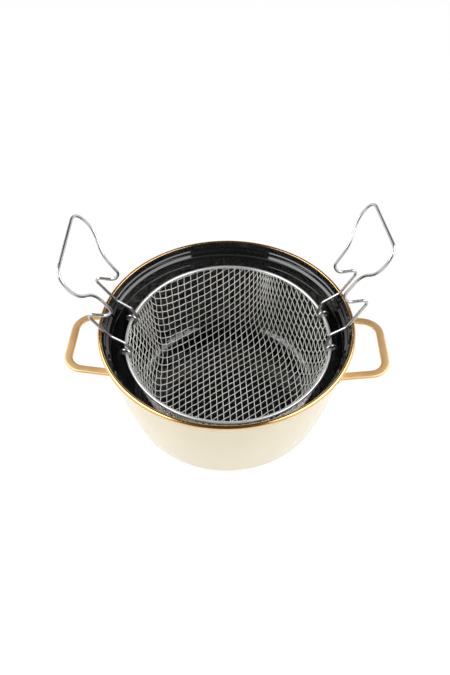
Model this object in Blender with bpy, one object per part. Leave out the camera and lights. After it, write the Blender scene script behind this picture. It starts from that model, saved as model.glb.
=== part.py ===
"""Enamel frying pot with a lift-out wire basket.

Lengths are in metres and +Z is up. The origin is the middle of the pot's base, and X runs
through the two handles of the pot. The basket's ring carries two wire handles. Each is one
bent wire whose ends are wound loosely round the ring, so that it swings in over the basket.
"""

import math

import bmesh
import bpy
from mathutils import Matrix, Vector

# Pot shell, whose walls are set in from its rim
RIM_RADIUS = 0.120
POT_HEIGHT = 0.110
POT_WALL = 0.0012
BASE_CORNER = 0.016
LOWER_INSET = 0.0194
LOWER_RADIUS = RIM_RADIUS - LOWER_INSET
LOWER_FLARE = math.radians(15)
UPPER_INSET = 0.0065
UPPER_RADIUS = RIM_RADIUS - UPPER_INSET
STEP_WIDTH = 0.0023
STEP_RISE = 0.005
STEP_DROP = 0.0130
NECK_DROP = 0.0052

# Gold band crimped over the rolled edge of the shell
BAND_DEPTH = 0.0042
BAND_METAL = 0.0005
BAND_INNER_END = math.radians(155)
BAND_OUTER_END = math.radians(-80)
NECK_INNER_ANGLE = math.radians(192)
NECK_OUTER_ANGLE = math.radians(-104)

# Handles of the pot, bent from flat bar
GRIP_OUT = 0.0347
GRIP_REACH = RIM_RADIUS + GRIP_OUT
GRIP_DROP = 0.033
GRIP_HEIGHT = POT_HEIGHT - GRIP_DROP
GRIP_HALF_SPAN = 0.0322
FOOT_HALF_SPAN = 0.0380
GRIP_BEND = 0.0130
BAR_WIDTH = 0.0073
BAR_THICKNESS = 0.0028
BAR_EDGE = 0.0009
FOOT_WIDTH = 0.0125
FOOT_HEIGHT = 0.0085
FOOT_THICKNESS = 0.0020

# Basket, which stands loosely in the pot and a little off its middle
BASKET_RIGHT = 0.0015
BASKET_REAR = 0.0005
RING_INSET = 0.0219
RING_RADIUS = RIM_RADIUS - RING_INSET
RING_WIRE = 0.0032
RING_DROP = 0.0213
RING_HEIGHT = POT_HEIGHT - RING_DROP
NET_WIRE = 0.0015
NET_LEAN = math.radians(14.6)
NET_CORNER = 0.018
NET_PITCH = 0.0185
NET_FIRST_ANGLE = math.radians(94.9)
NET_SECOND_ANGLE = math.radians(37.4)

# Wire handles of the basket, as reach outward from the hinge, half span and rise above the ring
WIRE = 0.0030
EYE_BORE = 0.0062
EYE_PITCH = 0.0062
EYE_TURNS = 1.15
EYE_HALF_SPAN = 0.0222
LEG_HALF_SPAN = 0.0219
ELBOW_RISE = 0.0065
KINK_REACH = 0.0138
KINK_RISE = 0.0208
NOTCH_REACH = 0.0328
NOTCH_RISE = 0.0513
NOSE_REACH = 0.0027
NOSE_RISE = 0.0492
WAIST_REACH = 0.0212
WAIST_RISE = 0.0798
WAIST_HALF_SPAN = 0.0229
SHOULDER_REACH = 0.0311
SHOULDER_RISE = 0.0960
SHOULDER_HALF_SPAN = 0.0428
LOOP_REACH = 0.0439
LOOP_RISE = 0.1152
LOOP_HALF_SPAN = 0.0394
ELBOW_BEND = 0.0040
KINK_BEND = 0.0052
NOTCH_BEND = 0.0037
NOSE_BEND = 0.0075
WAIST_BEND = 0.0240
SHOULDER_BEND = 0.0220
LOOP_BEND = 0.0118
LEFT_AZIMUTH = math.radians(180.4)
RIGHT_AZIMUTH = math.radians(5.5)
LEFT_LEAN = math.radians(-3.2)
RIGHT_LEAN = math.radians(-2.3)
SWAY = math.radians(4.4)

# Clearances
SEAT_GAP = 0.0003
NOTCH_GAP = 0.0006

# Fineness of the facets
SEGMENTS = 64
CORNER_STEPS = 5
WALL_STEPS = 5
STEP_STEPS = 3
EDGE_STEPS = 6
RING_SIDES = 8
NET_CORNER_STEPS = 12
CURVE_STEPS = 4
EYE_STEPS = 10
BEVEL_STEPS = 2
FIT_STEPS = 40
TURNED_SHARP = math.radians(40)
OVERRUN = 0.004
WELD_SHARE = 0.001
EDGE_SHARE = 0.25


def clear_scene():
    for thing in list(bpy.context.scene.objects):
        bpy.data.objects.remove(thing, do_unlink=True)


def finish_of(name, colour, roughness, metallic):
    material = bpy.data.materials.new(name)
    material.use_nodes = True
    shader = material.node_tree.nodes["Principled BSDF"]
    shader.inputs["Base Color"].default_value = (*colour, 1)
    shader.inputs["Roughness"].default_value = roughness
    shader.inputs["Metallic"].default_value = metallic
    return material


def add_object(name, mesh, material=None, parent=None):
    made = bpy.data.objects.new(name, mesh)
    bpy.context.scene.collection.objects.link(made)
    if material:
        mesh.materials.append(material)
    if parent:
        made.parent = parent
    return made


def mesh_from(name, shape):
    mesh = bpy.data.meshes.new(name)
    bmesh.ops.recalc_face_normals(shape, faces=shape.faces)
    shape.to_mesh(mesh)
    shape.free()
    return mesh


def smooth(mesh):
    mesh.shade_smooth()
    mesh.set_sharp_from_angle(angle=TURNED_SHARP)


def add_empty(name, place, parent=None):
    empty = bpy.data.objects.new(name, None)
    bpy.context.scene.collection.objects.link(empty)
    empty.location = place
    empty.parent = parent
    return empty


def arc(centre, radius, start, end, count):
    """Points (radius, height) of an arc, both ends included."""
    points = []
    for step in range(count + 1):
        angle = start + (end - start) * step / count
        points.append((centre[0] + radius * math.cos(angle), centre[1] + radius * math.sin(angle)))
    return points


def turned_mesh(name, outline, closed):
    """A mesh turned round Z from an outline of (radius, height) points."""
    shape = bmesh.new()
    corners = [shape.verts.new((radius, 0, height)) for radius, height in outline]
    edges = [shape.edges.new(pair) for pair in zip(corners, corners[1:])]
    if closed:
        edges.append(shape.edges.new((corners[-1], corners[0])))
    bmesh.ops.spin(
        shape,
        geom=corners + edges,
        cent=(0, 0, 0),
        axis=(0, 0, 1),
        angle=math.tau,
        steps=SEGMENTS,
        use_merge=True,
    )
    bmesh.ops.remove_doubles(shape, verts=shape.verts, dist=WELD_SHARE * POT_WALL)
    return mesh_from(name, shape)


def offset_path(path, distance):
    """The path moved to its left by a distance."""
    moved = []
    for index, point in enumerate(path):
        before = path[max(index - 1, 0)]
        after = path[min(index + 1, len(path) - 1)]
        along = Vector(after) - Vector(before)
        along.normalize()
        moved.append((point[0] - along.y * distance, point[1] + along.x * distance))
    return moved


def shell_path():
    """The outer side of the pot shell, from the flat base up to the neck under the rolled edge."""
    centre = (LOWER_RADIUS - BASE_CORNER * math.cos(LOWER_FLARE), BASE_CORNER)
    path = arc(centre, BASE_CORNER, -math.pi / 2, -LOWER_FLARE, CORNER_STEPS)
    start = Vector(path[-1])
    end = Vector((UPPER_RADIUS, POT_HEIGHT - STEP_DROP - STEP_RISE / 2))
    half = (end.y - start.y) / 2
    middle = Vector((start.x + half * math.tan(LOWER_FLARE), start.y + half))
    for step in range(1, WALL_STEPS + 1):
        share = step / WALL_STEPS
        point = start * (1 - share) ** 2 + middle * 2 * share * (1 - share) + end * share**2
        path.append(tuple(point))
    for step in range(1, STEP_STEPS + 1):
        share = step / STEP_STEPS
        blend = (1 - math.cos(math.pi * share)) / 2
        path.append((end.x + STEP_WIDTH * blend, end.y + STEP_RISE * share))
    path.append((path[-1][0], POT_HEIGHT - NECK_DROP))
    return path


def edge_centre():
    """Centre of the rolled edge's section, which the band wraps."""
    return (RIM_RADIUS - BAND_DEPTH / 2, POT_HEIGHT - BAND_DEPTH / 2)


def inner_path():
    return offset_path(shell_path(), POT_WALL)


def pot_outline():
    edge_radius = BAND_DEPTH / 2 - BAND_METAL - SEAT_GAP
    outline = [(0, POT_WALL)]
    outline += inner_path()
    outline += arc(edge_centre(), edge_radius, NECK_INNER_ANGLE, NECK_OUTER_ANGLE, EDGE_STEPS)
    outline += reversed(shell_path())
    outline.append((0, 0))
    return outline


def band_outline():
    inside = BAND_DEPTH / 2 - BAND_METAL
    outer = arc(edge_centre(), BAND_DEPTH / 2, BAND_OUTER_END, BAND_INNER_END, EDGE_STEPS)
    inner = arc(edge_centre(), inside, BAND_INNER_END, BAND_OUTER_END, EDGE_STEPS)
    return outer + inner


def ring_outline():
    outline = arc((RING_RADIUS, RING_HEIGHT), RING_WIRE / 2, 0, math.tau, RING_SIDES)
    return outline[:-1]


def rounded(points, bends, steps):
    """A path through corner points, each bend turned with its own radius."""
    path = [Vector(points[0])]
    for before, corner, after, bend in zip(points, points[1:], points[2:], bends):
        corner = Vector(corner)
        back = (Vector(before) - corner).normalized()
        ahead = (Vector(after) - corner).normalized()
        half = back.angle(ahead) / 2
        reach = bend / math.tan(half)
        start = corner + back * reach
        middle = (back + ahead).normalized()
        centre = corner + middle * bend / math.sin(half)
        spoke = start - centre
        sweep = math.pi - 2 * half
        axis = back.cross(ahead).normalized()
        for step in range(steps + 1):
            turn = Matrix.Rotation(-sweep * step / steps, 3, axis)
            path.append(centre + turn @ spoke)
    path.append(Vector(points[-1]))
    return path


def round_wire(name, path, diameter, material, parent=None):
    """A round wire along a path, as a curve with filled ends."""
    curve = bpy.data.curves.new(name, "CURVE")
    curve.dimensions = "3D"
    curve.bevel_depth = diameter / 2
    curve.bevel_resolution = BEVEL_STEPS
    curve.use_fill_caps = True
    spline = curve.splines.new("POLY")
    spline.points.add(len(path) - 1)
    for spot, point in zip(spline.points, path):
        spot.co = (*point, 1)
    spline.use_smooth = True
    curve.materials.append(material)
    wire = bpy.data.objects.new(name, curve)
    bpy.context.scene.collection.objects.link(wire)
    wire.parent = parent
    return wire


def box_mesh(name, size):
    shape = bmesh.new()
    bmesh.ops.create_cube(shape, size=1, matrix=Matrix.Diagonal((*size, 1)))
    bmesh.ops.bevel(
        shape,
        geom=shape.edges[:],
        offset=min(size) * EDGE_SHARE,
        segments=1,
        affect="EDGES",
    )
    return mesh_from(name, shape)


def cut_by(thing, operation, tool):
    step = thing.modifiers.new(operation.title() + "_" + tool.name, "BOOLEAN")
    step.operation = operation
    step.solver = "EXACT"
    step.object = tool
    tool.hide_render = True
    tool.display_type = "WIRE"
    return step


def section_points():
    """Corners of the flat bar's section, across its width and its thickness."""
    wide = BAR_WIDTH / 2
    thick = BAR_THICKNESS / 2
    edge = BAR_EDGE
    quarter = [(wide, thick - edge), (wide - edge, thick)]
    corners = []
    for across, up in ((1, 1), (-1, 1), (-1, -1), (1, -1)):
        pair = [(across * x, up * y) for x, y in quarter]
        corners += pair if across == up else pair[::-1]
    return corners


def bar_mesh(name, path):
    """The flat bar swept along a level path, its width in the plane of the path."""
    shape = bmesh.new()
    rings = []
    for index, point in enumerate(path):
        before = path[max(index - 1, 0)]
        after = path[min(index + 1, len(path) - 1)]
        into = (point - before).normalized() if index else (after - point).normalized()
        along = (after - before).normalized()
        stretch = 1 / into.dot(along)
        side = Vector((along.y, -along.x, 0))
        ring = []
        for across, up in section_points():
            ring.append(shape.verts.new(point + side * across * stretch + Vector((0, 0, up))))
        rings.append(ring)
    for ring, following in zip(rings, rings[1:]):
        for corner in range(len(ring)):
            beside = (corner + 1) % len(ring)
            shape.faces.new((ring[corner], ring[beside], following[beside], following[corner]))
    shape.faces.new(rings[0])
    shape.faces.new(reversed(rings[-1]))
    return mesh_from(name, shape)


def wall_radius_at(height):
    """Outer radius of the shell at a height, on its straight stretches."""
    path = shell_path()
    for low, high in zip(path, path[1:]):
        if low[1] <= height <= high[1]:
            share = (height - low[1]) / (high[1] - low[1])
            return low[0] + share * (high[0] - low[0])
    return RIM_RADIUS


def pot_handle(name, side, material, cutter):
    """One handle of the pot: a flat bar bent to a U, with a foot at each end for its weld."""
    foot_radius = wall_radius_at(GRIP_HEIGHT)
    foot_place = math.sqrt(foot_radius**2 - FOOT_HALF_SPAN**2)
    reach = GRIP_REACH - BAR_WIDTH / 2
    corners = [
        Vector((foot_place - OVERRUN, -FOOT_HALF_SPAN, 0)),
        Vector((reach, -GRIP_HALF_SPAN, 0)),
        Vector((reach, GRIP_HALF_SPAN, 0)),
        Vector((foot_place - OVERRUN, FOOT_HALF_SPAN, 0)),
    ]
    path = rounded(corners, (GRIP_BEND, GRIP_BEND), CURVE_STEPS + 1)
    handle = add_object(name, bar_mesh(name, path), material)
    handle.location = (0, 0, GRIP_HEIGHT)
    handle.rotation_euler.z = 0 if side > 0 else math.pi
    for end in (-1, 1):
        azimuth = math.atan2(end * FOOT_HALF_SPAN, foot_place)
        depth = 2 * FOOT_THICKNESS + OVERRUN
        pad = add_object(
            f"{name}_foot_{'rear' if end > 0 else 'front'}",
            box_mesh(name, (depth, FOOT_WIDTH, FOOT_HEIGHT)),
        )
        pad.parent = handle
        pad_radius = foot_radius + SEAT_GAP + FOOT_THICKNESS - depth / 2
        pad.location = (pad_radius * math.cos(azimuth), pad_radius * math.sin(azimuth), 0)
        pad.rotation_euler.z = azimuth
        cut_by(handle, "UNION", pad)
    cut_by(handle, "DIFFERENCE", cutter)
    return handle


def make_wall_cutter():
    """The outside of the pot wall with the seat gap added, for cutting the feet of the handles."""
    path = [point for point in offset_path(shell_path(), -SEAT_GAP) if point[1] > BASE_CORNER]
    outline = [(0, path[0][1])] + path + [(0, path[-1][1])]
    return add_object("wall_cutter", turned_mesh("wall_cutter", outline, closed=False))


def net_top():
    """Height of the net's hem, on its middle surface just under the ring."""
    return RING_HEIGHT - RING_WIRE / 2 - SEAT_GAP - NET_WIRE / 2


def net_meridian():
    """The basket's wall and floor as (radius, height) points of its middle surface, from the axis."""
    floor = POT_WALL + SEAT_GAP + NET_WIRE / 2
    top = net_top()
    height = floor + NET_CORNER
    radius = RING_RADIUS - (top - height) * math.tan(NET_LEAN) - NET_CORNER / math.cos(NET_LEAN)
    path = [(0, floor)]
    path += arc((radius, height), NET_CORNER, -math.pi / 2, -NET_LEAN, NET_CORNER_STEPS)
    path.append((RING_RADIUS, top))
    above = Vector(path[-1]) - Vector(path[-2])
    above.normalize()
    path.append(tuple(Vector(path[-1]) + above * 2 * NET_PITCH))
    return path


def along_meridian(meridian, distance):
    """(radius, height) at a distance along the meridian from the axis."""
    for near, far in zip(meridian, meridian[1:]):
        length = math.dist(near, far)
        if distance <= length:
            share = distance / length
            return near[0] + share * (far[0] - near[0]), near[1] + share * (far[1] - near[1])
        distance -= length
    return meridian[-1]


def on_net(meridian, distance, azimuth):
    radius, height = along_meridian(meridian, distance)
    return Vector((radius * math.cos(azimuth), radius * math.sin(azimuth), height))


def next_knot(meridian, behind, beside, corner):
    """The knot of a draped net that lies one pitch from two neighbours, away from their corner."""
    guess = on_net(meridian, *behind) + on_net(meridian, *beside) - on_net(meridian, *corner)
    distance = behind[0] + beside[0] - corner[0]
    azimuth = math.atan2(guess.y, guess.x)
    anchors = (on_net(meridian, *behind), on_net(meridian, *beside))
    nudge = WELD_SHARE * NET_PITCH
    for _ in range(FIT_STEPS):
        here = on_net(meridian, distance, azimuth)
        inward = on_net(meridian, distance + nudge, azimuth) - here
        turned = on_net(meridian, distance, azimuth + WELD_SHARE) - here
        misses = []
        slopes = []
        for anchor in anchors:
            reach = here - anchor
            misses.append(reach.length - NET_PITCH)
            slopes.append((reach.dot(inward) / nudge, reach.dot(turned) / WELD_SHARE))
            slopes[-1] = tuple(slope / reach.length for slope in slopes[-1])
        (a, b), (c, d) = slopes
        spread = a * d - b * c
        if abs(spread) < WELD_SHARE * RING_RADIUS:
            return None
        distance -= (d * misses[0] - b * misses[1]) / spread
        azimuth -= (a * misses[1] - c * misses[0]) / spread
    settled = max(abs(miss) for miss in misses) < nudge
    return (distance, azimuth) if settled and distance > 0 else None


def draped_net():
    """Knots of the net by row and column, as (distance along the meridian, azimuth)."""
    meridian = net_meridian()
    length = sum(math.dist(near, far) for near, far in zip(meridian, meridian[1:]))
    rows = int(length / NET_PITCH)
    knots = {(0, 0): (0.0, 0.0)}
    for count in range(1, rows + 1):
        for side in (1, -1):
            turn = 0 if side > 0 else math.pi
            knots[count * side, 0] = (count * NET_PITCH, NET_FIRST_ANGLE + turn)
            knots[0, count * side] = (count * NET_PITCH, NET_SECOND_ANGLE + turn)
    for row_side in (1, -1):
        for column_side in (1, -1):
            for row in range(1, rows + 1):
                for column in range(1, rows + 1):
                    i = row * row_side
                    j = column * column_side
                    around = [(i - row_side, j), (i, j - column_side), (i - row_side, j - column_side)]
                    if all(place in knots for place in around):
                        found = next_knot(meridian, *(knots[place] for place in around))
                        if found and found[0] < length:
                            knots[i, j] = found
    return meridian, knots


def basket_net(material, parent):
    """The wire cloth of the basket: a net draped into the bowl, each bar a square wire."""
    meridian, knots = draped_net()
    shape = bmesh.new()
    corners = {place: shape.verts.new(on_net(meridian, *spot)) for place, spot in knots.items()}
    for i, j in knots:
        cell = [(i, j), (i + 1, j), (i + 1, j + 1), (i, j + 1)]
        if all(place in corners for place in cell):
            shape.faces.new([corners[place] for place in cell])
    bmesh.ops.bisect_plane(
        shape,
        geom=shape.verts[:] + shape.edges[:] + shape.faces[:],
        plane_co=(0, 0, net_top()),
        plane_no=(0, 0, 1),
        clear_outer=True,
    )
    loose = [corner for corner in shape.verts if not corner.link_faces]
    bmesh.ops.delete(shape, geom=loose, context="VERTS")
    net = add_object("basket_net", mesh_from("basket_net", shape), material, parent)
    wires = net.modifiers.new("Wires", "WIREFRAME")
    wires.thickness = NET_WIRE
    wires.use_even_offset = False
    wires.use_boundary = True
    wires.use_replace = True
    return net


def leg_corners(sway):
    """Corner points (reach, span, rise) of the rear half of a wire handle, eye to outer bar."""
    eye = EYE_BORE / 2 + WIRE / 2
    half = [
        (-eye, LEG_HALF_SPAN, ELBOW_RISE, ELBOW_BEND),
        (KINK_REACH, LEG_HALF_SPAN, KINK_RISE, KINK_BEND),
        (NOTCH_REACH, LEG_HALF_SPAN, NOTCH_RISE, NOTCH_BEND),
        (NOSE_REACH, LEG_HALF_SPAN, NOSE_RISE, NOSE_BEND),
        (WAIST_REACH, WAIST_HALF_SPAN, WAIST_RISE, WAIST_BEND),
        (SHOULDER_REACH, SHOULDER_HALF_SPAN, SHOULDER_RISE, SHOULDER_BEND),
        (LOOP_REACH, LOOP_HALF_SPAN, LOOP_RISE, LOOP_BEND),
    ]
    offset = EYE_PITCH * EYE_TURNS / 2
    turn = Matrix.Rotation(sway, 3, "X")
    rear = []
    front = []
    for reach, span, rise, bend in half:
        for side, points in ((1, rear), (-1, front)):
            point = turn @ Vector((reach, side * span, rise)) + Vector((0, offset, 0))
            points.append((point, bend))
    return rear, front


def eye_turns(end_span):
    """The wire of one eye, wound round the hinge line from the inside of the ring downward."""
    eye = EYE_BORE / 2 + WIRE / 2
    count = math.ceil(EYE_TURNS * EYE_STEPS)
    points = []
    for step in range(count + 1):
        share = step / count
        angle = math.pi + math.tau * EYE_TURNS * share
        span = end_span - EYE_PITCH * EYE_TURNS * share
        points.append(Vector((eye * math.cos(angle), span, eye * math.sin(angle))))
    return points


def handle_path(sway):
    rear, front = leg_corners(sway)
    offset = EYE_PITCH * EYE_TURNS / 2
    rear_eye = eye_turns(EYE_HALF_SPAN + offset)
    front_eye = eye_turns(-EYE_HALF_SPAN + offset)
    chain = rear + front[::-1]
    corners = [rear_eye[0]] + [point for point, _ in chain] + [front_eye[0]]
    wire = rounded(corners, [bend for _, bend in chain], CURVE_STEPS)
    return rear_eye[:0:-1] + wire + front_eye[1:]


def hinge_radius():
    return math.sqrt(RING_RADIUS**2 - EYE_HALF_SPAN**2)


def eye_notch(name, hinge, place, net):
    """Cuts the net's hem back round one eye, so that the eye can turn on the ring."""
    radius = EYE_BORE / 2 + WIRE + NOTCH_GAP
    shape = bmesh.new()
    bmesh.ops.create_cone(
        shape,
        cap_ends=True,
        segments=2 * RING_SIDES,
        radius1=radius,
        radius2=radius,
        depth=EYE_PITCH * EYE_TURNS + WIRE + 2 * NOTCH_GAP,
        matrix=Matrix.Rotation(math.pi / 2, 4, "X"),
    )
    notch = add_object(name, mesh_from(name, shape), parent=hinge)
    notch.location.y = place
    cut_by(net, "DIFFERENCE", notch).use_self = True


def wire_handle(name, side, azimuth, lean, material, parent, net):
    turn = Matrix.Rotation(lean, 3, "Y")
    path = [turn @ point for point in handle_path(-side * SWAY)]
    place = (hinge_radius() * math.cos(azimuth), hinge_radius() * math.sin(azimuth), RING_HEIGHT)
    hinge = add_empty(name + "_hinge", place, parent)
    hinge.rotation_euler.z = azimuth
    local = [(point.x, side * point.y, point.z) for point in path]
    handle = round_wire(name, local, WIRE, material, hinge)
    eye_notch(name + "_rear_notch", hinge, EYE_HALF_SPAN, net)
    eye_notch(name + "_front_notch", hinge, -EYE_HALF_SPAN, net)
    return handle


def build():
    clear_scene()
    enamel = finish_of("cream_enamel", (0.84, 0.79, 0.66), 0.25, 0)
    gold = finish_of("polished_gold", (0.80, 0.52, 0.24), 0.18, 1)
    satin = finish_of("satin_gold", (0.72, 0.48, 0.25), 0.35, 1)
    chrome = finish_of("bright_wire", (0.80, 0.80, 0.80), 0.15, 1)

    pot = add_empty("pot", (0, 0, 0))
    body = add_object("pot_body", turned_mesh("pot_body", pot_outline(), closed=False), enamel, pot)
    smooth(body.data)
    band = add_object("rim_band", turned_mesh("rim_band", band_outline(), closed=True), gold, pot)
    smooth(band.data)
    cutter = make_wall_cutter()
    for name, side in (("pot_handle_right", 1), ("pot_handle_left", -1)):
        pot_handle(name, side, satin, cutter).parent = pot

    basket = add_empty("basket", (BASKET_RIGHT, BASKET_REAR, 0))
    ring = add_object("basket_ring", turned_mesh("basket_ring", ring_outline(), closed=True), chrome)
    ring.parent = basket
    smooth(ring.data)
    net = basket_net(chrome, basket)
    wire_handle("basket_handle_right", 1, RIGHT_AZIMUTH, RIGHT_LEAN, chrome, basket, net)
    wire_handle("basket_handle_left", -1, LEFT_AZIMUTH, LEFT_LEAN, chrome, basket, net)


build()
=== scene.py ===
"""The looks of the enamel frying pot, its gold trim and its wire basket, in a white studio.

Lengths are in metres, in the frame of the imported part: the origin is the middle of the pot's
base, +X runs through the right side handle and +Z is up. The camera looks down on the pot
from -Y.
"""

import math

import bmesh
import bpy
from mathutils import Matrix, Vector


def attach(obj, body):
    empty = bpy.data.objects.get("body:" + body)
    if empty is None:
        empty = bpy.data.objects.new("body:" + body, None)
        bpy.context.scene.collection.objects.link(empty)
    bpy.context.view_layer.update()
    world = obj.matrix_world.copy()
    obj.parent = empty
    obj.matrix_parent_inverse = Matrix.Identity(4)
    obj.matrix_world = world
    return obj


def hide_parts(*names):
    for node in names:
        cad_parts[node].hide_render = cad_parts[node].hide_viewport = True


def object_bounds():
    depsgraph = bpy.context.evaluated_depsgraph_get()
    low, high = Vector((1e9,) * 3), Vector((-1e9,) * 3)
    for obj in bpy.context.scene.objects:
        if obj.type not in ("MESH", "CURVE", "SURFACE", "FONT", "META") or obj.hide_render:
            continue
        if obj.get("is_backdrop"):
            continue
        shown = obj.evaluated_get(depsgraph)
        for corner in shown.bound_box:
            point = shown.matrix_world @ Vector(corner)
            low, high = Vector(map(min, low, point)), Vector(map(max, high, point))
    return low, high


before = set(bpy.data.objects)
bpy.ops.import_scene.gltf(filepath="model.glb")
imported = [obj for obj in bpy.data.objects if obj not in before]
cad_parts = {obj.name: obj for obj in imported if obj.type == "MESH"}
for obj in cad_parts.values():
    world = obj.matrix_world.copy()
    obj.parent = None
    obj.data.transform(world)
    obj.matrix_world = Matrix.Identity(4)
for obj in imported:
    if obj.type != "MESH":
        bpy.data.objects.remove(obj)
cad_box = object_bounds()

# Pot shell and its gold band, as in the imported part
RIM_RADIUS = 0.120
POT_HEIGHT = 0.110
POT_WALL = 0.0012
BASE_CORNER = 0.016
LOWER_RADIUS = 0.1006
LOWER_FLARE = math.radians(15)
UPPER_RADIUS = 0.1135
STEP_WIDTH = 0.0023
STEP_RISE = 0.005
STEP_DROP = 0.0130
NECK_DROP = 0.0052
# Corners of the steps pressed into the inner side of the wall, from below: how far each is set
# in from the neck, and its drop below the rim
PRESSED_STEPS = [
    (0.00400, 0.02190),
    (0.00360, 0.02150),
    (0.00330, 0.01200),
    (0.00110, 0.01020),
    (0.00110, 0.00640),
    (0.00000, 0.00550),
]
PRESSED_BEND = 0.0004
# The sheet's edge is rolled into a bead under the band. Angles start at the bead's outer side.
BEAD_RADIUS = 0.0016
BEAD_START = math.radians(192)
BEAD_END = math.radians(-104)
BLACK_BEAD_STRIPS = 5
BAND_DEPTH = 0.0042
BAND_INNER_END = math.radians(135)
BAND_OUTER_END = math.radians(-80)

# Side handles of the pot
GRIP_REACH = 0.1551
GRIP_HEIGHT = 0.077
GRIP_HALF_SPAN = 0.0322
FOOT_HALF_SPAN = 0.0380
GRIP_BEND = 0.0170
BAR_WIDTH = 0.0079
BAR_THICKNESS = 0.0028
# How round the bar's section is, across and up: 0 is square and 1 is oval
BAR_ROUND_ACROSS = 0.35
BAR_ROUND_UP = 0.6
FOOT_WIDTH = 0.0125
FOOT_HEIGHT = 0.0085
FOOT_THICKNESS = 0.0020
FOOT_SINK = 0.0002
FOOT_CORNER_CUT = 0.12
WELD_VOXEL = 0.0004

# Basket
BASKET_RIGHT = 0.0015
BASKET_REAR = 0.0001
# The basket is a little wider from front to rear than from side to side
OVAL = (0.993, 1.021, 1.0)
RING_RADIUS = 0.0981
RING_WIRE = 0.0032
RING_HEIGHT = 0.0887
NET_FLOOR = 0.00225
NET_LEAN = math.radians(14.6)
NET_CORNER = 0.018
NET_WIRE = 0.0009
NET_PITCH = 0.0078
NET_FIRST_ANGLE = math.radians(94.9)
NET_SECOND_ANGLE = math.radians(37.4)
# Degrees that the ends of the net's wires are curled round the ring, from its underside
HEM_CURL = 75

# Wire handles of the basket
WIRE = 0.0030
EYE_BORE = 0.0062
EYE_PITCH = 0.0062
EYE_TURNS = 1.15
EYE_HALF_SPAN = 0.0222
EYE_HALF_LENGTH = EYE_PITCH * EYE_TURNS / 2
HINGE_REACH = math.sqrt(RING_RADIUS**2 - EYE_HALF_SPAN**2)
SWAY = math.radians(4.4)
# Corners of a wire handle: reach from the hinge, half span, rise above the ring, bend radius.
# Each handle was bent by hand, so each leg has its own hook over the ring and its own elbow,
# and each bar has its own end corner. The corners in between are the same on every leg.
LEFT_HANDLE = {
    "azimuth": math.radians(180.4),
    "lean": math.radians(-3.2),
    "rear": [(0.0002, 0.0219, 0.0096, 0.0060), (0.0134, 0.0219, 0.0204, 0.0070)],
    "front": [(0.0005, 0.0219, 0.0108, 0.0060), (0.0134, 0.0219, 0.0206, 0.0070)],
    "bar": (0.0442, 0.0375, 0.1150, 0.0118),
}
RIGHT_HANDLE = {
    "azimuth": math.radians(5.5),
    "lean": math.radians(-2.3),
    "rear": [(-0.0006, 0.0219, 0.0142, 0.0060), (0.0154, 0.0219, 0.0240, 0.0070)],
    "front": [(-0.0010, 0.0219, 0.0115, 0.0060), (0.0134, 0.0219, 0.0193, 0.0070)],
    "bar": (0.0427, 0.0375, 0.1148, 0.0118),
}
SHARED_CORNERS = [
    (0.0328, 0.0219, 0.0513, 0.0037),
    (0.0027, 0.0219, 0.0492, 0.0075),
    (0.0212, 0.0229, 0.0798, 0.0240),
    (0.0311, 0.0428, 0.0960, 0.0220),
]

# Finishes: the two tones that each drifts between, its roughness or its polish and smears, and
# how strongly its fine relief shows
ENAMELS = {
    "cream_enamel": {
        "tones": ((0.792, 0.714, 0.540), (0.812, 0.734, 0.560)),
        "rough": (0.10, 0.16),
        "relief": 0.10,
        "ior": 1.5,
    },
    "black_enamel": {
        "tones": ((0.003, 0.003, 0.0035), (0.005, 0.0045, 0.005)),
        "rough": (0.04, 0.07),
        "relief": 0.03,
        "ior": 1.68,
    },
}
ENAMEL_PEEL = 0.02
ENAMEL_RELIEF_DEPTH = 0.001
METALS = {
    "polished_gold": {
        "tones": ((0.79, 0.47, 0.185), (0.89, 0.58, 0.255)),
        "polish": 0.10,
        "smears": 0.16,
        "relief": 0.05,
    },
    "satin_gold": {
        "tones": ((0.79, 0.505, 0.235), (0.87, 0.57, 0.28)),
        "polish": 0.42,
        "smears": 0.12,
        "relief": 0.15,
    },
    "bright_wire": {
        "tones": ((0.80, 0.80, 0.80), (0.90, 0.89, 0.88)),
        "polish": 0.24,
        "smears": 0.12,
        "relief": 0.05,
        "metallic": 0.7,
    },
    "net_wire": {
        "tones": ((0.92, 0.905, 0.85), (0.97, 0.955, 0.91)),
        "polish": 0.30,
        "smears": 0.12,
        "relief": 0.10,
        "metallic": 0.2,
    },
    "handle_wire": {
        "tones": ((0.52, 0.52, 0.52), (0.62, 0.61, 0.60)),
        "polish": 0.19,
        "smears": 0.14,
        "relief": 0.05,
    },
}
METAL_RELIEF_DEPTH = 0.0002
# Where on a slow noise the first and the second tone, or roughness, are reached
TONE_STOPS = (0.35, 0.65)
WIDE_STOPS = (0.3, 0.7)

# Camera
CAMERA_PLACE = (0.01354, -0.4009, 0.5285)
CAMERA_LOOK = (-0.02395, 0.6725, -0.7398)
CAMERA_ROLL = math.radians(-0.503)
CAMERA_LENS = 33.03
CAMERA_SHIFT = (-0.00124, -0.00050)

# Lamps: name, azimuth in degrees, size and power
LAMPS = [
    ("left_lamp", 183, (1.62, 0.90), 15.6),
    ("right_lamp", 356, (1.70, 1.05), 16.0),
]
LAMP_ELEVATION = math.radians(47)
LAMP_DISTANCE = 1.3
LAMP_AIM = Vector((0, 0, 0.06))

# Floor and room
FLOOR_HALF = 6
FLOOR_CORNERS = [(-1, -1), (1, -1), (1, 1), (-1, 1)]
FLOOR_HEIGHT = -0.0002
FLOOR_TONE = (0.95, 0.95, 0.95, 1)
FLOOR_GLOW = 1.04
FLOOR_GLOW_SHARE = 0.88
ROOM_BY_HEIGHT = [(0.0, 1.0), (0.30, 0.9), (0.50, 0.06), (1.0, 0.04)]
MIRROR_FROM_FRONT = [(0.04, 0.16), (0.22, 1.0)]

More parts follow.
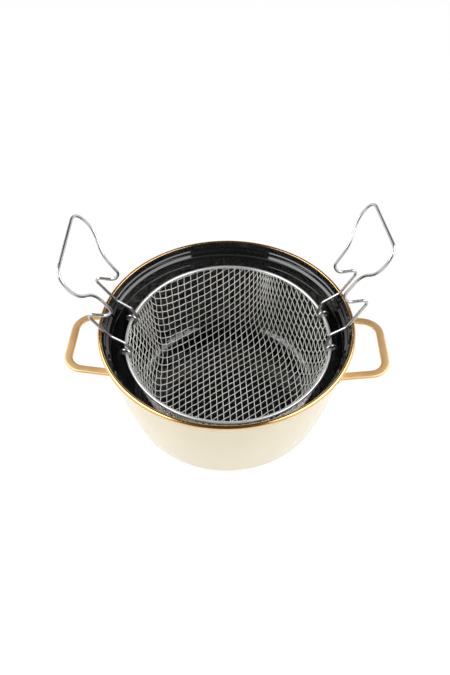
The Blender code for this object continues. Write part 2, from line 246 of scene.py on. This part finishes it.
# Fineness: points round a turned piece and along each curve
TURNS = 192
BASE_POINTS = 14
WALL_POINTS = 18
STEP_POINTS = 12
PRESS_POINTS = 4
BEAD_POINTS = 12
BAND_OUTER_POINTS = 22
BAND_INNER_POINTS = 10
BAR_POINTS = 20
GRIP_POINTS = 12
RING_POINTS = 16
NET_CORNER_POINTS = 16
NET_SIDES = 8
WEAVE_POINTS = 4
HEM_POINTS = 6
EYE_POINTS = 28
HANDLE_BEND_POINTS = 8
HANDLE_SIDES = 16
MERGE = 1e-6
# Search for a knot of the net: tries, trial step, flattest crossing and largest miss
KNOT_TRIES = 30
KNOT_NUDGE = 1e-5
KNOT_CROSSING = 1e-4
KNOT_MISS = 1e-7


# ---- Mesh and curve helpers ----


def link(thing):
    bpy.context.scene.collection.objects.link(thing)
    return thing


def hand_over(piece, body, node):
    """The piece rides on its body and stands for its CAD node, which it hides."""
    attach(piece, body)
    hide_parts(node)
    return piece


def shares(count):
    """The equal steps of a way, from the first to the whole of it."""
    return [step / count for step in range(1, count + 1)]


def arc(centre, radius, start, end, count):
    """Points along an arc of a section, from one angle to another."""
    points = []
    for step in range(count + 1):
        angle = start + (end - start) * step / count
        points.append((centre[0] + radius * math.cos(angle), centre[1] + radius * math.sin(angle)))
    return points


def turned(name, outline, finishes, closed=False, inner=0):
    """A piece turned round Z. Its first strips, as many as inner says, have the second finish."""
    corners = []
    for radius, height in outline:
        for step in range(TURNS):
            angle = math.tau * step / TURNS
            corners.append((radius * math.cos(angle), radius * math.sin(angle), height))
    rows = list(range(len(outline)))
    strips = list(zip(rows, rows[1:] + rows[:1])) if closed else list(zip(rows, rows[1:]))
    faces = []
    for low, high in strips:
        here, above = low * TURNS, high * TURNS
        for step in range(TURNS):
            beside = (step + 1) % TURNS
            faces.append((here + step, here + beside, above + beside, above + step))
    mesh = bpy.data.meshes.new(name)
    mesh.from_pydata(corners, [], faces)
    for finish in finishes:
        mesh.materials.append(finish)
    for face in mesh.polygons:
        face.material_index = 1 if face.index < inner * TURNS else 0
    shape = bmesh.new()
    shape.from_mesh(mesh)
    bmesh.ops.remove_doubles(shape, verts=shape.verts, dist=MERGE)
    bmesh.ops.recalc_face_normals(shape, faces=shape.faces)
    shape.to_mesh(mesh)
    shape.free()
    mesh.shade_smooth()
    return link(bpy.data.objects.new(name, mesh))


def offset_path(path, distance):
    """The path moved to its left by a distance."""
    moved = []
    for index, point in enumerate(path):
        before = path[max(index - 1, 0)]
        after = path[min(index + 1, len(path) - 1)]
        along = (Vector(after) - Vector(before)).normalized()
        moved.append((point[0] - along.y * distance, point[1] + along.x * distance))
    return moved


def rounded(points, bends, steps):
    """A path through corner points, each bend turned with its own radius."""
    path = [Vector(points[0])]
    for before, corner, after, bend in zip(points, points[1:], points[2:], bends):
        corner = Vector(corner)
        back = (Vector(before) - corner).normalized()
        ahead = (Vector(after) - corner).normalized()
        half = back.angle(ahead) / 2
        start = corner + back * bend / math.tan(half)
        centre = corner + (back + ahead).normalized() * bend / math.sin(half)
        axis = back.cross(ahead).normalized()
        for step in range(steps + 1):
            turn = Matrix.Rotation(-(math.pi - 2 * half) * step / steps, 3, axis)
            path.append(centre + turn @ (start - centre))
    path.append(Vector(points[-1]))
    return path


def wires(name, paths, diameter, finish, sides):
    """Round wires along paths, as one curve object with filled ends."""
    curve = bpy.data.curves.new(name, "CURVE")
    curve.dimensions = "3D"
    curve.bevel_depth = diameter / 2
    curve.bevel_resolution = sides // 4 - 1
    curve.use_fill_caps = True
    for path in paths:
        spline = curve.splines.new("POLY")
        spline.points.add(len(path) - 1)
        for spot, point in zip(spline.points, path):
            spot.co = (*point, 1)
        spline.use_smooth = True
    curve.materials.append(finish)
    return link(bpy.data.objects.new(name, curve))


def through(knots, steps):
    """A smooth line through its knots, with steps points from each to the next."""
    line = []
    for index in range(len(knots) - 1):
        before = knots[max(index - 1, 0)]
        start = knots[index]
        end = knots[index + 1]
        after = knots[min(index + 2, len(knots) - 1)]
        for step in range(steps):
            t = step / steps
            pull_in = (end - before) / 2
            pull_out = (after - start) / 2
            line.append(
                start * (2 * t**3 - 3 * t**2 + 1)
                + pull_in * (t**3 - 2 * t**2 + t)
                + end * (3 * t**2 - 2 * t**3)
                + pull_out * (t**3 - t**2)
            )
    line.append(knots[-1])
    return line


# ---- Materials ----


class Nodes:
    """Short ways to add and join the nodes of one tree."""

    def __init__(self, tree):
        self.tree = tree

    def add(self, kind, **settings):
        node = self.tree.nodes.new(kind)
        for key, value in settings.items():
            setattr(node, key, value)
        return node

    def join(self, source, target):
        self.tree.links.new(source, target)

    def noise(self, vector, scale, detail=2.0):
        node = self.add("ShaderNodeTexNoise")
        node.inputs["Scale"].default_value = scale
        node.inputs["Detail"].default_value = detail
        self.join(vector, node.inputs["Vector"])
        return node.outputs["Fac"]

    def ramp(self, source, stops):
        node = self.add("ShaderNodeValToRGB")
        bar = node.color_ramp.elements
        while len(bar) < len(stops):
            bar.new(0.5)
        for stop, (place, colour) in zip(bar, stops):
            stop.position = place
            stop.color = (*colour, 1) if isinstance(colour, tuple) else (colour,) * 3 + (1,)
        self.join(source, node.inputs["Fac"])
        return node.outputs["Color"]

    def math(self, operation, first, second):
        node = self.add("ShaderNodeMath", operation=operation)
        for socket, value in zip(node.inputs, (first, second)):
            if isinstance(value, (int, float)):
                socket.default_value = value
            else:
                self.join(value, socket)
        return node.outputs["Value"]


def surface_group(name, inputs, outputs):
    """An empty node group with named number inputs and outputs."""
    group = bpy.data.node_groups.new(name, "ShaderNodeTree")
    for label, value in inputs:
        socket = group.interface.new_socket(label, in_out="INPUT", socket_type="NodeSocketFloat")
        socket.default_value = value
    for label in outputs:
        group.interface.new_socket(label, in_out="OUTPUT", socket_type="NodeSocketFloat")
    nodes = Nodes(group)
    return group, nodes, nodes.add("NodeGroupInput"), nodes.add("NodeGroupOutput")


def make_enamel_skin():
    """Fired enamel: long soft waves with a fine orange peel, and a slow drift in tone."""
    group, nodes, given, made = surface_group("enamel_skin", [("Peel", 0.3)], ["Height", "Drift"])
    place = nodes.add("ShaderNodeTexCoord").outputs["Object"]
    waves = nodes.noise(place, scale=22, detail=1.0)
    peel = nodes.noise(place, scale=620, detail=1.0)
    fine = nodes.math("MULTIPLY", peel, given.outputs["Peel"])
    nodes.join(nodes.math("ADD", waves, fine), made.inputs["Height"])
    nodes.join(nodes.noise(place, scale=14, detail=3.0), made.inputs["Drift"])
    return group


def make_handled_metal():
    """Handled metal: smears that dull the polish, and a fine grain."""
    group, nodes, given, made = surface_group(
        "handled_metal", [("Polish", 0.15), ("Smears", 0.12)], ["Roughness", "Height", "Drift"]
    )
    place = nodes.add("ShaderNodeTexCoord").outputs["Object"]
    smears = nodes.noise(place, scale=90, detail=4.0)
    dulled = nodes.math("MULTIPLY", smears, given.outputs["Smears"])
    nodes.join(nodes.math("ADD", dulled, given.outputs["Polish"]), made.inputs["Roughness"])
    nodes.join(nodes.noise(place, scale=1400), made.inputs["Height"])
    nodes.join(nodes.noise(place, scale=45), made.inputs["Drift"])
    return group


def new_finish(name):
    material = bpy.data.materials.new(name)
    material.use_nodes = True
    nodes = Nodes(material.node_tree)
    return material, nodes, material.node_tree.nodes["Principled BSDF"]


def bump(nodes, shader, height, strength, depth):
    node = nodes.add("ShaderNodeBump")
    node.inputs["Strength"].default_value = strength
    node.inputs["Distance"].default_value = depth
    nodes.join(height, node.inputs["Height"])
    nodes.join(node.outputs["Normal"], shader.inputs["Normal"])


def enamel(name, skin, tones, rough, relief, ior):
    """Glossy fired enamel whose tone drifts between two colours."""
    material, nodes, shader = new_finish(name)
    shader.inputs["IOR"].default_value = ior
    group = nodes.add("ShaderNodeGroup", node_tree=skin)
    group.inputs["Peel"].default_value = ENAMEL_PEEL
    drift = group.outputs["Drift"]
    nodes.join(nodes.ramp(drift, list(zip(TONE_STOPS, tones))), shader.inputs["Base Color"])
    nodes.join(nodes.ramp(drift, list(zip(WIDE_STOPS, rough))), shader.inputs["Roughness"])
    bump(nodes, shader, group.outputs["Height"], relief, ENAMEL_RELIEF_DEPTH)
    return material


def metal(name, handled, tones, polish, smears, relief, metallic=1.0):
    """Plated or polished metal with handling marks."""
    material, nodes, shader = new_finish(name)
    shader.inputs["Metallic"].default_value = metallic
    group = nodes.add("ShaderNodeGroup", node_tree=handled)
    group.inputs["Polish"].default_value = polish
    group.inputs["Smears"].default_value = smears
    drift = group.outputs["Drift"]
    nodes.join(nodes.ramp(drift, list(zip(WIDE_STOPS, tones))), shader.inputs["Base Color"])
    nodes.join(group.outputs["Roughness"], shader.inputs["Roughness"])
    bump(nodes, shader, group.outputs["Height"], relief, METAL_RELIEF_DEPTH)
    return material


# ---- Pot ----


def shell_path():
    """The outer side of the shell, from the flat base up to the neck under the rolled edge."""
    centre = (LOWER_RADIUS - BASE_CORNER * math.cos(LOWER_FLARE), BASE_CORNER)
    path = arc(centre, BASE_CORNER, -math.pi / 2, -LOWER_FLARE, BASE_POINTS)
    start = Vector(path[-1])
    end = Vector((UPPER_RADIUS, POT_HEIGHT - STEP_DROP - STEP_RISE / 2))
    half = (end.y - start.y) / 2
    middle = Vector((start.x + half * math.tan(LOWER_FLARE), start.y + half))
    for share in shares(WALL_POINTS):
        early, late = 1 - share, share
        path.append(tuple(start * early**2 + middle * 2 * late * early + end * late**2))
    for share in shares(STEP_POINTS):
        blend = (1 - math.cos(math.pi * share)) / 2
        path.append((end.x + STEP_WIDTH * blend, end.y + STEP_RISE * share))
    path.append((path[-1][0], POT_HEIGHT - NECK_DROP))
    return path


def inner_path():
    """The inner side of the shell, with the steps that the press leaves in it below the rim."""
    neck = UPPER_RADIUS + STEP_WIDTH - POT_WALL
    set_in, drop = PRESSED_STEPS[0]
    top = POT_HEIGHT - drop
    path = []
    for radius, height in offset_path(shell_path(), POT_WALL):
        if height < top - 2 * PRESSED_BEND:
            path.append((radius, height))
    short = path[-1][0] - (neck - set_in)
    path = [(radius - short * (height / path[-1][1]) ** 3, height) for radius, height in path]
    corners = [path[-1]] + [(neck - inset, POT_HEIGHT - drop) for inset, drop in PRESSED_STEPS]
    corners.append((neck, POT_HEIGHT - NECK_DROP))
    upright = [Vector((radius, 0, height)) for radius, height in corners]
    pressed = rounded(upright, [PRESSED_BEND] * len(PRESSED_STEPS), PRESS_POINTS)
    return path + [(point.x, point.z) for point in pressed[1:]]


def edge_centre():
    """The middle of the rolled edge, as (radius, height)."""
    return (RIM_RADIUS - BAND_DEPTH / 2, POT_HEIGHT - BAND_DEPTH / 2)


def pot_shell(cream, black):
    """The steel shell, black inside and cream outside, with its edge rolled under the band."""
    inside = [(0, POT_WALL)] + inner_path()
    edge = arc(edge_centre(), BEAD_RADIUS, BEAD_START, BEAD_END, BEAD_POINTS)
    outline = inside + edge + shell_path()[::-1] + [(0, 0)]
    shell = turned("pot_shell", outline, [cream, black], inner=len(inside) + BLACK_BEAD_STRIPS)
    hand_over(shell, "pot", "pot_body")


def gold_band(gold):
    centre = edge_centre()
    outer = arc(centre, BAND_DEPTH / 2, BAND_OUTER_END, BAND_INNER_END, BAND_OUTER_POINTS)
    inner = arc(centre, BEAD_RADIUS, BAND_INNER_END, BAND_OUTER_END, BAND_INNER_POINTS)
    band = turned("gold_band", outer + inner, [gold], closed=True)
    hand_over(band, "pot", "rim_band")


def wall_radius_at(height):
    """The radius of the shell's outer side at a height."""
    path = shell_path()
    for low, high in zip(path, path[1:]):
        if low[1] <= height <= high[1]:
            return low[0] + (high[0] - low[0]) * (height - low[1]) / (high[1] - low[1])
    return RIM_RADIUS


def bar_section():
    """The flat bar's section, its edges well rounded."""
    points = []
    for step in range(BAR_POINTS):
        angle = math.tau * step / BAR_POINTS
        across = math.copysign(abs(math.cos(angle)) ** BAR_ROUND_ACROSS, math.cos(angle))
        up = math.copysign(abs(math.sin(angle)) ** BAR_ROUND_UP, math.sin(angle))
        points.append((across * BAR_WIDTH / 2, up * BAR_THICKNESS / 2))
    return points


def sweep_bar(shape, path):
    """The flat bar along a level path."""
    rings = []
    for index, point in enumerate(path):
        before = path[max(index - 1, 0)]
        after = path[min(index + 1, len(path) - 1)]
        along = (after - before).normalized()
        side = Vector((along.y, -along.x, 0))
        corners = [point + side * across + Vector((0, 0, up)) for across, up in bar_section()]
        rings.append([shape.verts.new(corner) for corner in corners])
    for ring, following in zip(rings, rings[1:]):
        for corner in range(len(ring)):
            beside = (corner + 1) % len(ring)
            shape.faces.new((ring[corner], ring[beside], following[beside], following[corner]))
    shape.faces.new(rings[0])
    shape.faces.new(rings[-1][::-1])


def add_foot(shape, end, foot_radius, foot_place):
    """A foot pad bent to the pot's wall."""
    azimuth = math.atan2(end * FOOT_HALF_SPAN, foot_place)
    made = bmesh.ops.create_grid(shape, x_segments=12, y_segments=8, size=1)["verts"]
    faces = list({face for vert in made for face in vert.link_faces})
    thick = bmesh.ops.extrude_face_region(shape, geom=faces)["geom"]
    lifted = [item for item in thick if isinstance(item, bmesh.types.BMVert)]
    for verts, out in ((made, -FOOT_SINK), (lifted, FOOT_THICKNESS)):
        for vert in verts:
            u, v = vert.co.x, vert.co.y
            corner = 1 - FOOT_CORNER_CUT * max(0, abs(u) + abs(v) - 1)
            height = GRIP_HEIGHT + v * corner * FOOT_HEIGHT / 2
            radius = wall_radius_at(height) + out
            turn = azimuth + u * corner * FOOT_WIDTH / 2 / foot_radius
            vert.co = (radius * math.cos(turn), radius * math.sin(turn), height)


def side_handle(name, side, satin):
    """A side handle: flat bar bent to a U, with its feet on the pot's wall."""
    foot_radius = wall_radius_at(GRIP_HEIGHT)
    foot_place = math.sqrt(foot_radius**2 - FOOT_HALF_SPAN**2)
    reach = GRIP_REACH - BAR_WIDTH / 2
    corners = [
        Vector((foot_place, -FOOT_HALF_SPAN, GRIP_HEIGHT)),
        Vector((reach, -GRIP_HALF_SPAN, GRIP_HEIGHT)),
        Vector((reach, GRIP_HALF_SPAN, GRIP_HEIGHT)),
        Vector((foot_place, FOOT_HALF_SPAN, GRIP_HEIGHT)),
    ]
    shape = bmesh.new()
    sweep_bar(shape, rounded(corners, (GRIP_BEND, GRIP_BEND), GRIP_POINTS))
    for end in (-1, 1):
        add_foot(shape, end, foot_radius, foot_place)
    bmesh.ops.recalc_face_normals(shape, faces=shape.faces)
    if side < 0:
        half_turn = Matrix.Rotation(math.pi, 3, "Z")
        bmesh.ops.rotate(shape, verts=shape.verts, cent=(0, 0, 0), matrix=half_turn)
    mesh = bpy.data.meshes.new(name)
    shape.to_mesh(mesh)
    shape.free()
    mesh.materials.append(satin)
    handle = link(bpy.data.objects.new(name, mesh))
    fuse = handle.modifiers.new("Fused welds", "REMESH")
    fuse.mode = "VOXEL"
    fuse.voxel_size = WELD_VOXEL
    fuse.use_smooth_shade = True
    ease = handle.modifiers.new("Eased edges", "SMOOTH")
    ease.factor = 0.5
    ease.iterations = 4
    return handle


# ---- Basket ----


def basket_ring(bright):
    outline = arc((RING_RADIUS, RING_HEIGHT), RING_WIRE / 2, 0, math.tau, RING_POINTS)[:-1]
    ring = turned("hoop", outline, [bright], closed=True)
    ring.location = (BASKET_RIGHT, BASKET_REAR, 0)
    ring.scale = OVAL
    hand_over(ring, "basket", "basket_ring")


def net_meridian():
    """The basket's floor and wall as (radius, height) points, from the axis to above the ring."""
    top = RING_HEIGHT - RING_WIRE / 2
    height = NET_FLOOR + NET_CORNER
    radius = RING_RADIUS - (top - height) * math.tan(NET_LEAN) - NET_CORNER / math.cos(NET_LEAN)
    path = [(0, NET_FLOOR)]
    path += arc((radius, height), NET_CORNER, -math.pi / 2, -NET_LEAN, NET_CORNER_POINTS)
    path.append((RING_RADIUS, top))
    above = (Vector(path[-1]) - Vector(path[-2])).normalized()
    path.append(tuple(Vector(path[-1]) + above * 3 * NET_PITCH))
    return path


class Bowl:
    """The basket's surface of revolution, addressed by distance from its middle and azimuth."""

    def __init__(self):
        self.path = net_meridian()
        self.lengths = [0.0]
        for near, far in zip(self.path, self.path[1:]):
            self.lengths.append(self.lengths[-1] + math.dist(near, far))
        self.hem = self.lengths[-2]

    def section(self, distance):
        """(radius, height) and the slope's cosine and sine at a distance."""
        index = 1
        while index < len(self.lengths) - 1 and self.lengths[index] < distance:
            index += 1
        near, far = self.path[index - 1], self.path[index]
        length = self.lengths[index] - self.lengths[index - 1]
        share = (distance - self.lengths[index - 1]) / length
        cosine = (far[0] - near[0]) / length
        sine = (far[1] - near[1]) / length
        radius = near[0] + share * (far[0] - near[0])
        height = near[1] + share * (far[1] - near[1])
        return radius, height, cosine, sine

    def at(self, distance, azimuth, lift=0.0):
        """The point there, lifted off the surface toward the inside by a length."""
        radius, height, cosine, sine = self.section(distance)
        radius -= lift * sine
        height += lift * cosine
        return Vector((radius * math.cos(azimuth), radius * math.sin(azimuth), height))


def next_knot(bowl, behind, beside, corner):
    """The knot that lies one pitch from two neighbours, away from their corner."""
    anchors = (bowl.at(*behind), bowl.at(*beside))
    guess = anchors[0] + anchors[1] - bowl.at(*corner)
    distance = behind[0] + beside[0] - corner[0]
    azimuth = math.atan2(guess.y, guess.x)
    for _ in range(KNOT_TRIES):
        here = bowl.at(distance, azimuth)
        outward = (bowl.at(distance + KNOT_NUDGE, azimuth) - here) / KNOT_NUDGE
        turned_by = (bowl.at(distance, azimuth + KNOT_NUDGE) - here) / KNOT_NUDGE
        rows = []
        for anchor in anchors:
            reach = here - anchor
            length = reach.length
            slopes = (reach.dot(outward) / length, reach.dot(turned_by) / length)
            rows.append((length - NET_PITCH, *slopes))
        (first, a, b), (second, c, d) = rows
        spread = a * d - b * c
        if abs(spread) < KNOT_CROSSING:
            return None
        distance -= (d * first - b * second) / spread
        azimuth -= (a * second - c * first) / spread
        if max(abs(first), abs(second)) < KNOT_MISS:
            return (distance, azimuth) if distance > 0 else None
    return None


def draped_knots(bowl):
    """Knots of the wire cloth by row and column: flat on the floor, it shears to climb the wall."""
    length = bowl.lengths[-1]
    rows = int(length / NET_PITCH)
    knots = {(0, 0): (0.0, 0.0)}
    for count in range(1, rows + 1):
        for side in (1, -1):
            turn = 0 if side > 0 else math.pi
            knots[count * side, 0] = (count * NET_PITCH, NET_FIRST_ANGLE + turn)
            knots[0, count * side] = (count * NET_PITCH, NET_SECOND_ANGLE + turn)
    for row_side in (1, -1):
        for column_side in (1, -1):
            for row in range(1, rows + 1):
                for column in range(1, rows + 1):
                    i = row * row_side
                    j = column * column_side
                    behind = (i - row_side, j)
                    beside = (i, j - column_side)
                    around = [behind, beside, (i - row_side, j - column_side)]
                    if all(place in knots for place in around):
                        found = next_knot(bowl, *(knots[place] for place in around))
                        if found and found[0] < length:
                            knots[i, j] = found
    return knots


def near_eye(point):
    """True in the two notches that each wire handle's eyes need in the net."""
    radius = EYE_BORE / 2 + WIRE + NET_WIRE
    for azimuth in (LEFT_HANDLE["azimuth"], RIGHT_HANDLE["azimuth"]):
        out = point.x * math.cos(azimuth) + point.y * math.sin(azimuth) - HINGE_REACH
        along = point.y * math.cos(azimuth) - point.x * math.sin(azimuth)
        if math.hypot(out, point.z - RING_HEIGHT) < radius:
            if abs(abs(along) - EYE_HALF_SPAN) < EYE_HALF_LENGTH + WIRE:
                return True
    return False


def hem_curl(azimuth):
    """A wire end bent round the inner side of the ring."""
    reach = RING_WIRE / 2 + NET_WIRE / 2
    points = []
    for step in range(HEM_POINTS + 1):
        angle = math.radians(-90 - HEM_CURL * step / HEM_POINTS)
        radius = RING_RADIUS + reach * math.cos(angle)
        height = RING_HEIGHT + reach * math.sin(angle)
        points.append(Vector((radius * math.cos(azimuth), radius * math.sin(azimuth), height)))
    return points


def runs_of(knots, family):
    """Each wire of one family as lists of knots in order, cut where the cloth ends."""
    lines = {}
    for place, spot in knots.items():
        lines.setdefault(place[1 - family], []).append((place[family], spot, sum(place) % 2))
    for key in sorted(lines):
        run = []
        for index, spot, odd in sorted(lines[key]):
            if run and index != run[-1][0] + 1:
                yield run
                run = []
            run.append((index, spot, odd))
        yield run


def woven_paths(bowl, knots):
    """The wires of the cloth, woven over and under, with their ends curled round the ring."""
    hem = bowl.hem - NET_WIRE / 2
    for family in (0, 1):
        for run in runs_of(knots, family):
            inside = [item for item in run if item[1][0] < hem]
            if len(inside) < 2:
                continue
            points = []
            for _, spot, odd in inside:
                lift = NET_WIRE / 2 * (1 if odd == family else -1)
                points.append(bowl.at(*spot, lift))
            path = through(points, WEAVE_POINTS)
            beyond = [item for item in run if item[1][0] >= hem]
            for last, at_start in ((inside[0], True), (inside[-1], False)):
                index, (distance, azimuth), _ = last
                near = [spot for place, spot, _ in beyond if abs(place - index) == 1]
                if not near:
                    continue
                share = (hem - distance) / (near[0][0] - distance)
                swing = (near[0][1] - azimuth + math.pi) % math.tau - math.pi
                curl = hem_curl(azimuth + swing * share)
                path = curl[::-1] + path if at_start else path + curl
            yield from clear_of_eyes(path)


def clear_of_eyes(path):
    """The stretches of a net wire that stay clear of the wire handles' eyes."""
    kept = []
    for point in path:
        if near_eye(point):
            if len(kept) > 2:
                yield kept
            kept = []
        else:
            kept.append(point)
    if len(kept) > 2:
        yield kept


def wire_net(woven):
    bowl = Bowl()
    paths = list(woven_paths(bowl, draped_knots(bowl)))
    net = wires("wire_net", paths, NET_WIRE, woven, NET_SIDES)
    net.location = (BASKET_RIGHT, BASKET_REAR, 0)
    net.scale = OVAL
    hand_over(net, "basket", "basket_net")


def handle_path(form, sway):
    """The bent wire of a handle: eye, leg, outer bar, leg and eye."""
    eye = EYE_BORE / 2 + WIRE / 2
    tilt = Matrix.Rotation(sway, 3, "X")
    along_eye = Vector((0, EYE_HALF_LENGTH, 0))
    halves = []
    for side, leg in ((1, form["rear"]), (-1, form["front"])):
        half = []
        for reach, span, rise, bend in leg + SHARED_CORNERS + [form["bar"]]:
            half.append((tilt @ Vector((reach, side * span, rise)) + along_eye, bend))
        halves.append(half)
    eyes = []
    for end_span in (EYE_HALF_SPAN + EYE_HALF_LENGTH, -EYE_HALF_SPAN + EYE_HALF_LENGTH):
        points = []
        for step in range(EYE_POINTS + 1):
            share = step / EYE_POINTS
            angle = math.pi + math.tau * EYE_TURNS * share
            span = end_span - EYE_PITCH * EYE_TURNS * share
            points.append(Vector((eye * math.cos(angle), span, eye * math.sin(angle))))
        eyes.append(points)
    chain = halves[0] + halves[1][::-1]
    corners = [eyes[0][0]] + [point for point, _ in chain] + [eyes[1][0]]
    middle = rounded(corners, [bend for _, bend in chain], HANDLE_BEND_POINTS)
    return eyes[0][:0:-1] + middle + eyes[1][1:]


def wire_handle(name, side, form, finish):
    """A wire handle standing on its hinge, at the right (1) or the left (-1) of the ring."""
    lean_turn = Matrix.Rotation(form["lean"], 3, "Y")
    points = [lean_turn @ point for point in handle_path(form, -side * SWAY)]
    path = [(point.x, side * point.y, point.z) for point in points]
    handle = wires(name, [path], WIRE, finish, HANDLE_SIDES)
    azimuth = form["azimuth"]
    handle.location = (
        BASKET_RIGHT + HINGE_REACH * math.cos(azimuth),
        BASKET_REAR + HINGE_REACH * math.sin(azimuth),
        RING_HEIGHT,
    )
    handle.rotation_euler.z = azimuth
    return handle


# ---- Studio ----


def add_camera():
    look = Vector(CAMERA_LOOK).normalized()
    level = look.cross(Vector((0, 0, 1))).normalized()
    upright = level.cross(look)
    right = level * math.cos(CAMERA_ROLL) + upright * math.sin(CAMERA_ROLL)
    up = upright * math.cos(CAMERA_ROLL) - level * math.sin(CAMERA_ROLL)
    turn = Matrix((right, up, -look)).transposed()
    lens = bpy.data.cameras.new("camera")
    lens.sensor_fit = "VERTICAL"
    lens.sensor_height = 36
    lens.lens = CAMERA_LENS
    lens.shift_x, lens.shift_y = CAMERA_SHIFT
    camera = link(bpy.data.objects.new("camera", lens))
    camera.matrix_world = Matrix.Translation(CAMERA_PLACE) @ turn.to_4x4()
    bpy.context.scene.camera = camera


def add_soft_lamp(name, azimuth, size, power):
    """An oval soft lamp that points at the pot."""
    lamp = bpy.data.lights.new(name, "AREA")
    lamp.shape = "ELLIPSE"
    lamp.size, lamp.size_y = size
    lamp.energy = power
    thing = link(bpy.data.objects.new(name, lamp))
    turn = math.radians(azimuth)
    level = math.cos(LAMP_ELEVATION)
    out = Vector((math.cos(turn) * level, math.sin(turn) * level, math.sin(LAMP_ELEVATION)))
    thing.location = out * LAMP_DISTANCE + LAMP_AIM
    thing.rotation_mode = "QUATERNION"
    thing.rotation_quaternion = out.to_track_quat("Z", "Y")


def add_floor():
    """A white floor that glows for the camera and keeps a soft share of the shadow."""
    mesh = bpy.data.meshes.new("floor")
    corners = [(x * FLOOR_HALF, y * FLOOR_HALF, FLOOR_HEIGHT) for x, y in FLOOR_CORNERS]
    mesh.from_pydata(corners, [], [(0, 1, 2, 3)])
    material = bpy.data.materials.new("studio_floor")
    material.use_nodes = True
    tree = material.node_tree
    tree.nodes.clear()
    nodes = Nodes(tree)
    matt = nodes.add("ShaderNodeBsdfDiffuse")
    matt.inputs["Color"].default_value = FLOOR_TONE
    glow = nodes.add("ShaderNodeEmission")
    glow.inputs["Strength"].default_value = FLOOR_GLOW
    ray = nodes.add("ShaderNodeLightPath")
    seen = nodes.math("MAXIMUM", ray.outputs["Is Camera Ray"], ray.outputs["Is Glossy Ray"])
    seen = nodes.math("MAXIMUM", seen, ray.outputs["Is Transmission Ray"])
    mix = nodes.add("ShaderNodeMixShader")
    nodes.join(nodes.math("MULTIPLY", seen, FLOOR_GLOW_SHARE), mix.inputs["Fac"])
    nodes.join(matt.outputs["BSDF"], mix.inputs[1])
    nodes.join(glow.outputs["Emission"], mix.inputs[2])
    out = nodes.add("ShaderNodeOutputMaterial")
    nodes.join(mix.outputs["Shader"], out.inputs["Surface"])
    mesh.materials.append(material)
    link(bpy.data.objects.new("studio_floor", mesh))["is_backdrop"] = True


def light_the_room():
    """A white horizon under a dim ceiling, and a white background for the camera.

    In mirror images the front of the room is dim, and matt surfaces get light from all sides.
    """
    world = bpy.data.worlds.new("studio")
    world.use_nodes = True
    bpy.context.scene.world = world
    tree = world.node_tree
    tree.nodes.clear()
    nodes = Nodes(tree)
    direction = nodes.add("ShaderNodeTexCoord").outputs["Generated"]
    split = nodes.add("ShaderNodeSeparateXYZ")
    nodes.join(direction, split.inputs["Vector"])
    room = nodes.add("ShaderNodeBackground")
    height = nodes.ramp(split.outputs["Z"], ROOM_BY_HEIGHT)
    toward = nodes.math("ADD", nodes.math("MULTIPLY", split.outputs["Y"], 0.5), 0.5)
    front = nodes.ramp(toward, MIRROR_FROM_FRONT)
    ray = nodes.add("ShaderNodeLightPath")
    matt_share = nodes.math("SUBTRACT", 1.0, ray.outputs["Is Glossy Ray"])
    shade = nodes.add("ShaderNodeVectorMath", operation="MULTIPLY")
    nodes.join(height, shade.inputs[0])
    nodes.join(nodes.math("MAXIMUM", front, matt_share), shade.inputs[1])
    nodes.join(shade.outputs["Vector"], room.inputs["Color"])
    seen = nodes.add("ShaderNodeBackground")
    seen.inputs["Color"].default_value = (1, 1, 1, 1)
    mix = nodes.add("ShaderNodeMixShader")
    nodes.join(ray.outputs["Is Camera Ray"], mix.inputs["Fac"])
    nodes.join(room.outputs["Background"], mix.inputs[1])
    nodes.join(seen.outputs["Background"], mix.inputs[2])
    out = nodes.add("ShaderNodeOutputWorld")
    nodes.join(mix.outputs["Shader"], out.inputs["Surface"])


# ---- The whole scene ----


def dress():
    skin = make_enamel_skin()
    handled = make_handled_metal()
    finish = {name: enamel(name, skin, **look) for name, look in ENAMELS.items()}
    finish.update({name: metal(name, handled, **look) for name, look in METALS.items()})

    pot_shell(finish["cream_enamel"], finish["black_enamel"])
    gold_band(finish["polished_gold"])
    for name, side, node in (
        ("side_handle_right", 1, "pot_handle_right"),
        ("side_handle_left", -1, "pot_handle_left"),
    ):
        hand_over(side_handle(name, side, finish["satin_gold"]), "pot", node)
    basket_ring(finish["bright_wire"])
    wire_net(finish["net_wire"])
    right = wire_handle("lift_wire_right", 1, RIGHT_HANDLE, finish["handle_wire"])
    hand_over(right, "wire_handle_right", "basket_handle_right")
    left = wire_handle("lift_wire_left", -1, LEFT_HANDLE, finish["handle_wire"])
    hand_over(left, "wire_handle_left", "basket_handle_left")


def build_studio():
    add_camera()
    add_floor()
    light_the_room()
    for lamp in LAMPS:
        add_soft_lamp(*lamp)
    bpy.context.scene.view_settings.view_transform = "Standard"


dress()
build_studio()

boxes = {"cad": cad_box, "visual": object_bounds()}
{name: [list(corner) for corner in box] for name, box in boxes.items()}
